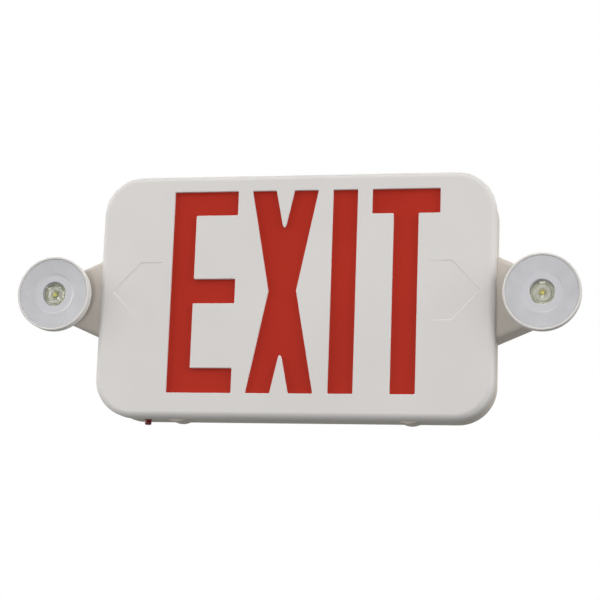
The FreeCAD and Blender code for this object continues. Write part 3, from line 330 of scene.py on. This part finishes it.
def legend_cutter():
    """All four letters as one cutter, with the small corners that a moulded edge has."""
    cutter = join([letter_e(), letter_x(), letter_i(), letter_t()], "legend_cutter")
    with editing(cutter):
        bpy.ops.mesh.select_all(action="SELECT")
        bpy.ops.mesh.dissolve_limited(angle_limit=math.radians(1))

        def runs_inwards(edge):
            along = edge.verts[0].co - edge.verts[1].co
            return abs(along.normalized().y) > 0.99

        def notch_tip(edge):
            middle = (edge.verts[0].co + edge.verts[1].co) / 2
            return runs_inwards(edge) and near(middle.x, X_CENTRE) and near(abs(middle.z), X_NOTCH)

        pick(cutter, "edges", notch_tip)
        bpy.ops.mesh.bevel(offset_type="WIDTH", offset=X_NOTCH_TIP * MM, segments=6, affect="EDGES")

        def plain_corner(edge):
            return runs_inwards(edge) and turns_sharply(edge)

        pick(cutter, "edges", plain_corner)
        bpy.ops.mesh.bevel(offset=LETTER_CORNER * MM, segments=3, affect="EDGES")
        bpy.ops.mesh.select_all(action="SELECT")
        bpy.ops.mesh.normals_make_consistent(inside=False)
    cutter.location = (LEGEND_CENTRE[0] * MM, 0, LEGEND_CENTRE[1] * MM)
    select_alone(cutter)
    bpy.ops.object.transform_apply(location=True, rotation=False, scale=False)
    return cutter


def in_chevron(place, spare=CHEVRON_LINE / 2):
    """Whether a place in metres is within the part of the face that either chevron takes."""
    across, up = abs(place.x) / MM, abs(place.z / MM - LEGEND_CENTRE[1])
    return CHEVRON_REACH[0] < across < CHEVRON_REACH[1] and up < CHEVRON_HALF + spare


def sink_chevrons(cover):
    """Sinks the band inside each scored outline of the edited cover, and slopes its edge up to the face."""

    def on_band(vert):
        return near(vert.co.y, FACE_Y) and in_chevron(vert.co, -CHEVRON_LINE / 2)

    def on_groove_floor(vert):
        return near(vert.co.y, FACE_Y + CHEVRON_DEPTH) and in_chevron(vert.co)

    def band(face):
        return all(on_band(vert) for vert in face.verts)

    def scored(face):
        return any(on_groove_floor(vert) for vert in face.verts)

    pick(cover, "faces", scored)
    bpy.ops.mesh.delete(type="FACE")
    pick(cover, "faces", band)
    bpy.ops.transform.translate(value=(0, CHEVRON_SINK * MM, 0))
    for way in (-1, 1):

        def open_edge(edge):
            return len(edge.link_faces) == 1 and edge.verts[0].co.x * way > 0

        pick(cover, "edges", open_edge)
        bpy.ops.mesh.bridge_edge_loops()


def legend_cover():
    """The front cover with the legend cut through it, the cut's edges eased and the chevrons sunk."""
    cover = merged_copy("front_cover", "legend_cover")
    cutter = legend_cutter()
    apply_modifier(cover, "BOOLEAN", operation="DIFFERENCE", solver="EXACT", object=cutter)
    bpy.data.objects.remove(cutter)
    with editing(cover):

        def cut_edge(edge):
            on_face = all(near(vert.co.y, FACE_Y) for vert in edge.verts)
            middle = (edge.verts[0].co + edge.verts[1].co) / 2
            return on_face and turns_sharply(edge) and not in_chevron(middle)

        pick(cover, "edges", cut_edge)
        bpy.ops.mesh.bevel(offset=CUT_EDGE_ROUND * MM, segments=2, affect="EDGES")
        sink_chevrons(cover)
    smooth_piece(cover)
    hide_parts("front_cover")
    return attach(cover, "housing")


# ---------------------------------------------------------------- lamp dishes and lenses

def lamp_part(side, part):
    """The middle of a lamp's part across the sign, its front and its back, in millimetres."""
    low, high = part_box(f"{side}_{part}")
    return (low[0] + high[0]) / 2 / MM, low[1] / MM, high[1] / MM


def turned(name, x, profile, segments, ring=True):
    """A solid about a line into the wall at x, from radius and level pairs in millimetres.

    The profile of a ring closes on itself; any other starts and ends close to the line.
    """
    radius, level = profile[0]
    bpy.ops.object.select_all(action="DESELECT")
    bpy.ops.mesh.primitive_circle_add(
        vertices=segments, radius=radius * MM, location=(x * MM, level * MM, 0), rotation=(math.pi / 2, 0, 0)
    )
    piece = bpy.context.object
    piece.name = name
    bpy.ops.object.transform_apply(location=True, rotation=True, scale=True)
    after = profile[1:] + profile[:1] if ring else profile[1:]
    with editing(piece):
        bpy.ops.mesh.select_mode(type="EDGE")
        bpy.ops.mesh.select_all(action="SELECT")
        for (was_radius, was_level), (radius, level) in zip(profile, after):
            move = (0, (level - was_level) * MM, 0)
            bpy.ops.mesh.extrude_edges_move(TRANSFORM_OT_translate={"value": move})
            grow = radius / was_radius
            middle = (x * MM, level * MM, 0)
            bpy.ops.transform.resize(value=(grow, 1, grow), center_override=middle)
        bpy.ops.mesh.select_all(action="SELECT")
        bpy.ops.mesh.remove_doubles(threshold=0.0002 * MM)
        bpy.ops.mesh.normals_make_consistent(inside=False)
    return piece


def dish_profile(front, back):
    """Round from the seat: rim, cone, ring, throat, and the moulding's own thickness behind."""
    slope = DISH_FALL / (DISH_RADIUS - RING_RADIUS)

    def cone(radius):
        return (radius, front + (DISH_RADIUS - radius) * slope)

    ring = front + DISH_FALL
    floor = ring + RING_STEP
    seat = front + DISH_THICK
    return [
        (DISH_RADIUS, seat), (DISH_RADIUS, front + EDGE_ROUND), cone(DISH_RADIUS - EDGE_ROUND),
        cone(FLUTE_ENDS[1] + EDGE_ROUND), cone(FLUTE_ENDS[1]), cone(FLUTE_ENDS[0]),
        cone(FLUTE_ENDS[0] - EDGE_ROUND * 2), cone(RING_RADIUS + RING_ROUND),
        (RING_RADIUS, ring + RING_STEP / 2), (RING_RADIUS - RING_ROUND, floor),
        (THROAT_RADIUS + EDGE_ROUND * 2, floor), (THROAT_RADIUS, floor + EDGE_ROUND * 2),
        (THROAT_NECK, back), (THROAT_NECK + THROAT_WALL, back),
        (THROAT_RADIUS + THROAT_WALL, floor + THROAT_WALL), (DISH_LIP - DISH_THICK, seat + DISH_THICK),
        (DISH_LIP, seat),
    ]


def fluted_dish():
    """The left lamp's dish with its fine radial flutes, which spread the light."""
    x, front, back = lamp_part("left", "lamp_dish")
    steps = FLUTES * FLUTE_STEPS
    dish = turned("left_fluted_dish", x, dish_profile(front, back), steps)
    with editing(dish):
        for step, depth in ((1, FLUTE_DEPTH / 2), (2, FLUTE_DEPTH), (3, FLUTE_DEPTH / 2)):

            def in_flute(vert):
                across, up = vert.co.x / MM - x, vert.co.z / MM
                turn = round(math.atan2(up, across) * steps / math.tau) % FLUTE_STEPS
                fluted = FLUTE_ENDS[0] - 0.1 < math.hypot(across, up) < FLUTE_ENDS[1] + 0.1
                return fluted and turn == step and vert.co.y / MM < front + DISH_THICK

            pick(dish, "verts", in_flute)
            bpy.ops.transform.translate(value=(0, depth * MM, 0))
    smooth_piece(dish, angle=25)
    return dish


def lens_profile(front, base):
    """From the tip of the dome over the flange to its foot, and up into the diode's pocket."""
    reach, rise = LENS_DOME
    turns = [math.radians(angle) for angle in range(5, 86, 10)]
    dome = [(reach * math.sin(turn), front + rise * (1 - math.cos(turn))) for turn in turns]
    seat = front + rise
    rim = seat - LENS_FLANGE
    under = seat + LENS_FLANGE
    roof = base - (base - front) * POCKET_SHARE
    return [(POLE_RADIUS, front)] + dome + [
        (reach + LENS_DOME_SEAT, seat),
        (LENS_RIM - LENS_RIM_EASE[0], rim), (LENS_RIM, rim + LENS_RIM_EASE[1]), (LENS_RIM, seat),
        (LENS_FOOT + LENS_FOOT_EASE[0], under), (LENS_FOOT, under + LENS_FOOT_EASE[1]), (LENS_FOOT, base),
        (POCKET_RADIUS, base), (POCKET_RADIUS, base - POCKET_WALL),
        (POCKET_RADIUS - POCKET_EASE[0], roof + POCKET_EASE[1]), (POLE_RADIUS, roof),
    ]


def collimator():
    """The left lamp's clear lens, which fills the throat of its dish."""
    x, front, base = lamp_part("left", "lamp_lens")
    profile = lens_profile(front, base)
    lens = turned("left_collimator", x, profile, 64, ring=False)
    with editing(lens):
        for level in (profile[0][1], profile[-1][1]):

            def pole(vert):
                reach = math.hypot(vert.co.x / MM - x, vert.co.z / MM)
                return reach < POLE_RADIUS * 2 and near(vert.co.y, level)

            pick(lens, "verts", pole)
            bpy.ops.mesh.merge(type="CENTER")
        bpy.ops.mesh.select_all(action="SELECT")
        bpy.ops.mesh.normals_make_consistent(inside=False)
    smooth_piece(lens, angle=40)
    return lens


def twin(left, part):
    """A copy of a left-hand piece with its own mesh, moved to that part of the right-hand lamp."""
    right = left.copy()
    right.data = left.data.copy()
    right.name = left.name.replace("left", "right")
    bpy.context.collection.objects.link(right)
    right.location.x = (lamp_part("right", part)[0] - lamp_part("left", part)[0]) * MM
    select_alone(right)
    bpy.ops.object.transform_apply(location=True, rotation=False, scale=False)
    return right


def fit(piece, side, part, finish):
    """Puts a piece in the place of that part of one lamp, where it moves with the head."""
    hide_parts(f"{side}_{part}")
    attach(piece, f"{side}_head")
    paint(piece, finish)


def fit_lamps(silvered, clear):
    """Models the left lamp's dish and lens, copies them, and fits each lamp with its pair."""
    left_dish = fluted_dish()
    left_lens = collimator()
    right_dish = twin(left_dish, "lamp_dish")
    right_lens = twin(left_lens, "lamp_lens")
    for side, dish, lens in (("left", left_dish, left_lens), ("right", right_dish, right_lens)):
        fit(dish, side, "lamp_dish", silvered)
        fit(lens, side, "lamp_lens", clear)


# ---------------------------------------------------------------- finishes

def colour(code):
    """A linear colour from an sRGB hex code."""
    parts = [int(code[i:i + 2], 16) / 255 for i in (1, 3, 5)]
    return [c / 12.92 if c <= 0.04045 else ((c + 0.055) / 1.055) ** 2.4 for c in parts] + [1]


def per_mm(size):
    """The texture scale at which one feature is that many millimetres."""
    return 1 / (size * MM)


def paint(piece, finish):
    piece.data.materials.clear()
    piece.data.materials.append(finish)


def node(tree, kind, inputs=None, **settings):
    """Adds a shader node with its settings, and fills or links its inputs."""
    made = tree.nodes.new(kind)
    for name, value in settings.items():
        setattr(made, name, value)
    for name, value in (inputs or {}).items():
        if isinstance(value, bpy.types.NodeSocket):
            tree.links.new(value, made.inputs[name])
        else:
            made.inputs[name].default_value = value
    return made


def finish_of(name, **values):
    """A new material with its shader and object coordinates; values are the shader's own."""
    material = bpy.data.materials.new(name)
    material.use_nodes = True
    tree = material.node_tree
    shader = tree.nodes["Principled BSDF"]
    for socket, value in values.items():
        shader.inputs[socket.replace("_", " ")].default_value = value
    place = node(tree, "ShaderNodeTexCoord").outputs["Object"]
    return material, tree, shader, place


def tone(tree, shader, place, size, codes, stops=(0.35, 0.65)):
    """Two close colours in patches of that size, which blend between the stops."""
    patches = node(tree, "ShaderNodeTexNoise", {"Vector": place, "Scale": per_mm(size), "Detail": 3.0})
    ramp = node(tree, "ShaderNodeValToRGB", {"Fac": patches.outputs["Fac"]})
    for element, code, at in zip(ramp.color_ramp.elements, codes, stops):
        element.color = colour(code)
        element.position = at
    tree.links.new(ramp.outputs["Color"], shader.inputs["Base Color"])
    return ramp.outputs["Color"]


def lamp_zones(tree, shader, place, radius, inner, outer):
    """One colour inside a radius in millimetres about either lamp's own line, and another outside it."""
    mirrored = node(tree, "ShaderNodeVectorMath", {0: place}, operation="ABSOLUTE").outputs[0]
    centred = node(tree, "ShaderNodeVectorMath", {0: mirrored, 1: (LAMP_X * MM, 0, 0)}, operation="SUBTRACT")
    across = node(
        tree, "ShaderNodeVectorMath", {0: centred.outputs[0], 1: (1, 0, 1)}, operation="MULTIPLY"
    )
    reach = node(tree, "ShaderNodeVectorMath", {0: across.outputs[0]}, operation="LENGTH")
    limits = {"From Min": radius * (1 - ZONE_BLEND) * MM, "From Max": radius * (1 + ZONE_BLEND) * MM}
    outside = node(tree, "ShaderNodeMapRange", {"Value": reach.outputs["Value"], **limits})
    blend = node(
        tree, "ShaderNodeMix",
        {"Factor": outside.outputs["Result"], "A": inner, "B": outer}, data_type="RGBA",
    )
    tree.links.new(blend.outputs["Result"], shader.inputs["Base Color"])


def sheen_of(tree, shader, place, size, rough):
    """Roughness that wanders between two values in patches of that size."""
    patches = node(tree, "ShaderNodeTexNoise", {"Vector": place, "Scale": per_mm(size), "Detail": 4.0})
    spread = node(
        tree, "ShaderNodeMapRange",
        {"Value": patches.outputs["Fac"], "To Min": rough[0], "To Max": rough[1]},
    )
    tree.links.new(spread.outputs["Result"], shader.inputs["Roughness"])


def grain(tree, shader, place, size, depth, strength=0.3):
    """A moulded or rolled grain of that size, as a bump of that depth in millimetres."""
    pits = node(tree, "ShaderNodeTexNoise", {"Vector": place, "Scale": per_mm(size), "Detail": 2.0})
    bump = node(
        tree, "ShaderNodeBump",
        {"Height": pits.outputs["Fac"], "Strength": strength, "Distance": depth * MM},
    )
    tree.links.new(bump.outputs["Normal"], shader.inputs["Normal"])


def moulded_abs(name, codes):
    # ABS, injection moulded in a lightly spark-eroded tool: a soft satin with a barely felt grain. The real
    # grain is a tenth of a millimetre, too fine to show, so it is drawn nine times as coarse.
    material, tree, shader, place = finish_of(name, IOR=1.53, Specular_IOR_Level=0.15)
    tone(tree, shader, place, 70, codes)
    sheen_of(tree, shader, place, 9, (0.62, 0.72))
    grain(tree, shader, place, 0.9, 0.02)
    return material


def red_acrylic():
    # Cast red acrylic, satin on its front: an even deep red without mirror images. Its etch is drawn coarse.
    material, tree, shader, place = finish_of("satin_red_acrylic", IOR=1.49, Specular_IOR_Level=0.15)
    tone(tree, shader, place, 60, ("#AA2718", "#B02A1A"))
    sheen_of(tree, shader, place, 14, (0.45, 0.55))
    grain(tree, shader, place, 1.2, 0.01, 0.15)
    return material


def tray_abs():
    # ABS with much white pigment, moulded smooth, to throw the strips' light forwards.
    material, tree, shader, place = finish_of("reflecting_abs", IOR=1.53)
    tone(tree, shader, place, 40, ("#E6E6E2", "#EBEBE8"))
    sheen_of(tree, shader, place, 8, (0.4, 0.5))
    return material


def satin_reflector():
    # Polycarbonate with a silver-white satin lacquer: cool grey, with soft broad reflections, and a shade
    # paler on the ring round the throat. The lacquer's grain is drawn coarse, so that it shows.
    material, tree, shader, place = finish_of("silvered_polycarbonate", IOR=1.58, Metallic=0.1)
    cone_tone = tone(tree, shader, place, 12, ("#B6B6B9", "#BCBCBF"))
    lamp_zones(tree, shader, place, RING_RADIUS, colour("#C0C0C4"), cone_tone)
    sheen_of(tree, shader, place, 5, (0.42, 0.5))
    grain(tree, shader, place, 0.6, 0.01, 0.2)
    return material


def clear_acrylic():
    # Moulded clear acrylic, polished: sharp highlights, and the diode magnified behind it.
    material, tree, shader, place = finish_of(
        "clear_acrylic", IOR=1.49, Transmission_Weight=1.0, Base_Color=colour("#F4F4E8")
    )
    sheen_of(tree, shader, place, 3, (0.02, 0.05))
    return material


def phosphor():
    # Silicone filled with yellow phosphor, over the chips of the legend's strips: waxy, slightly glossy.
    material, tree, shader, place = finish_of("phosphor_silicone", IOR=1.41)
    tone(tree, shader, place, 1.5, ("#C9C83E", "#DAD85E"))
    sheen_of(tree, shader, place, 1, (0.25, 0.4))
    return material


def lamp_diode():
    # Clear silicone over a pale moulded package: glossy, with yellow phosphor on the chip in its middle.
    material, tree, shader, place = finish_of("silicone_over_phosphor", IOR=1.41, Roughness=0.2)
    lamp_zones(tree, shader, place, CHIP_RADIUS, colour("#E0DA52"), colour("#BDB68A"))
    return material


def solder_mask(name, codes):
    # A board under solder mask: glossy, with tracks showing as slightly paler patches.
    material, tree, shader, place = finish_of(name, IOR=1.5, Roughness=0.3)
    tone(tree, shader, place, 3, codes, (0.48, 0.52))
    grain(tree, shader, place, 2.0, 0.03)
    return material


def plated_steel(name, codes, rough, size):
    # Steel, zinc plated or bare: bright with a fine random grain from rolling or tumbling.
    material, tree, shader, place = finish_of(name, Metallic=1.0)
    tone(tree, shader, place, size, codes)
    sheen_of(tree, shader, place, size / 2, rough)
    grain(tree, shader, place, size / 4, 0.01)
    return material


def moulded_dark(name, codes, rough):
    # Filled nylon or polyester, moulded: dark, satin, with slight flow marks.
    material, tree, shader, place = finish_of(name, IOR=1.53)
    tone(tree, shader, place, 6, codes)
    sheen_of(tree, shader, place, 2, rough)
    grain(tree, shader, place, 0.5, 0.02)
    return material


def button_red():
    # Tinted polycarbonate button, polished: deep red with sharp highlights.
    material, tree, shader, place = finish_of(
        "tinted_polycarbonate", IOR=1.58, Specular_IOR_Level=0.3, Coat_Weight=0.1
    )
    tone(tree, shader, place, 4, ("#5C0E12", "#681016"))
    sheen_of(tree, shader, place, 2, (0.12, 0.2))
    return material


def dress_nodes():
    """Gives every CAD node its finish and its smooth shading, and returns what the new pieces need."""
    white = moulded_abs("moulded_abs_white", ("#D6D3D0", "#D9D6D3"))
    # The rear housing, its arm covers and its swivel turrets are the same white ABS as the cover, given a
    # darker, warmer colour. This is painted shade standing in for the shadow that the lamp heads and the
    # cover cast on the arms.
    shell = moulded_abs("moulded_abs_white_painted_shade", ("#C8C1B8", "#CCC5BC"))
    reflector = satin_reflector()
    acrylic = clear_acrylic()
    board = solder_mask("green_solder_mask", ("#1D5B33", "#2A7143"))
    zinc = plated_steel("zinc_plated_steel", ("#B4B6B8", "#C6C8CA"), (0.25, 0.4), 3)
    spring = plated_steel("spring_steel", ("#9A9CA0", "#A8AAAE"), (0.2, 0.3), 4)
    black = moulded_dark("filled_nylon_black", ("#161616", "#1E1E1E"), (0.4, 0.55))
    sleeve = moulded_dark("shrink_sleeve_blue", ("#24407A", "#2C4A88"), (0.25, 0.35))
    by_name = {
        "front_cover": white,
        "rear_housing": shell,
        "legend_diffuser": red_acrylic(),
        "light_tray": tray_abs(),
        "legend_led_boards": board,
        "legend_leds": phosphor(),
        "main_circuit_board": board,
        "transformer": plated_steel("varnished_laminations", ("#3A3A3E", "#4A4A4E"), (0.4, 0.55), 1),
        "capacitors": sleeve,
        "transfer_relay": black,
        "terminal_block": moulded_dark("filled_nylon_green", ("#22623A", "#2A7046"), (0.35, 0.5)),
        "test_switch": black,
        "battery_pack": sleeve,
        "battery_strap": spring,
        "test_button": button_red(),
        "switch_plunger": black,
    }
    by_ending = {
        "_screws": zinc,
        "_tilt_pin": zinc,
        "_turret_clip": spring,
        "_arm_cover": shell,
        "_swivel_turret": shell,
        "_lamp_shell": white,
        "_lamp_dish": reflector,
        "_lamp_lens": acrylic,
        "_lamp_board": solder_mask("white_solder_mask", ("#D6D6D0", "#DEDED8")),
        "_lamp_led": lamp_diode(),
    }
    for name, piece in NODES.items():
        for ending, finish in by_ending.items():
            if name.endswith(ending):
                by_name[name] = finish
        paint(piece, by_name[name])
        smooth_node(piece)
    return white, reflector, acrylic


# ---------------------------------------------------------------- studio

def white_to_the_eye(tree):
    """Plain dim light on the object, and white wherever the world is seen or mirrored."""
    path = node(tree, "ShaderNodeLightPath")
    seen = path.outputs["Is Camera Ray"]
    for ray in ("Is Glossy Ray", "Is Transmission Ray"):
        either = node(tree, "ShaderNodeMath", {0: seen, 1: path.outputs[ray]}, operation="MAXIMUM")
        seen = either.outputs[0]
    lit = node(tree, "ShaderNodeBackground", {"Color": WHITE, "Strength": WORLD_LIGHT})
    white = node(tree, "ShaderNodeBackground", {"Color": WHITE, "Strength": 1.0})
    mix = node(tree, "ShaderNodeMixShader", {0: seen, 1: lit.outputs[0], 2: white.outputs[0]})
    out = tree.nodes.get("World Output") or node(tree, "ShaderNodeOutputWorld")
    tree.links.new(mix.outputs[0], out.inputs["Surface"])


def floor_paper():
    # Matt pale paper, lit from beneath as a light table is, so that it stays even out to its far edge.
    material, tree, shader, place = finish_of("studio_floor_paper", Roughness=0.9)
    tone(tree, shader, place, 400, ("#626260", "#666664"))
    path = node(tree, "ShaderNodeLightPath")
    glow = node(tree, "ShaderNodeEmission", {"Color": WHITE, "Strength": 1.0})
    seen = node(tree, "ShaderNodeMath", {0: 1.0, 1: path.outputs["Is Diffuse Ray"]}, operation="SUBTRACT")
    share = node(tree, "ShaderNodeMath", {0: seen.outputs[0], 1: FLOOR_GLOW}, operation="MULTIPLY")
    mix = node(tree, "ShaderNodeMixShader", {0: share.outputs[0], 1: shader.outputs[0], 2: glow.outputs[0]})
    tree.links.new(mix.outputs[0], tree.nodes["Material Output"].inputs["Surface"])
    return material


def soft_box(name, place, size, power):
    """A square soft box that faces the middle of the sign's back, and isn't seen itself."""
    lamp = bpy.data.lights.new(name, "AREA")
    lamp.shape = "SQUARE"
    lamp.size = size
    lamp.energy = power
    holder = bpy.data.objects.new(name, lamp)
    bpy.context.collection.objects.link(holder)
    holder.location = place
    holder.rotation_euler = (-Vector(place)).to_track_quat("-Z", "Y").to_euler()
    holder.visible_camera = False


def studio():
    """The floor, the world and the lights."""
    bpy.ops.object.select_all(action="DESELECT")
    bpy.ops.mesh.primitive_plane_add(size=FLOOR_SIZE, location=(0, 0, FLOOR_LEVEL))
    floor = bpy.context.object
    floor.name = "studio_floor"
    paint(floor, floor_paper())
    world = bpy.data.worlds.new("studio_white")
    world.use_nodes = True
    bpy.context.scene.world = world
    white_to_the_eye(world.node_tree)
    for name, settings in SOFT_BOXES.items():
        soft_box(name, **settings)


def camera():
    """A long lens from below and to the right of the sign."""
    seeing = bpy.data.cameras.new("camera")
    seeing.sensor_width = CAMERA_SENSOR
    seeing.lens = CAMERA_LENS
    holder = bpy.data.objects.new("camera", seeing)
    bpy.context.collection.objects.link(holder)
    holder.location = CAMERA_PLACE
    holder.rotation_euler = [math.radians(turn) for turn in CAMERA_TURN]
    bpy.context.scene.camera = holder


camera()
studio()
white_abs, silvered, clear = dress_nodes()
paint(legend_cover(), white_abs)
fit_lamps(silvered, clear)

bpy.context.scene.view_settings.view_transform = "Standard"
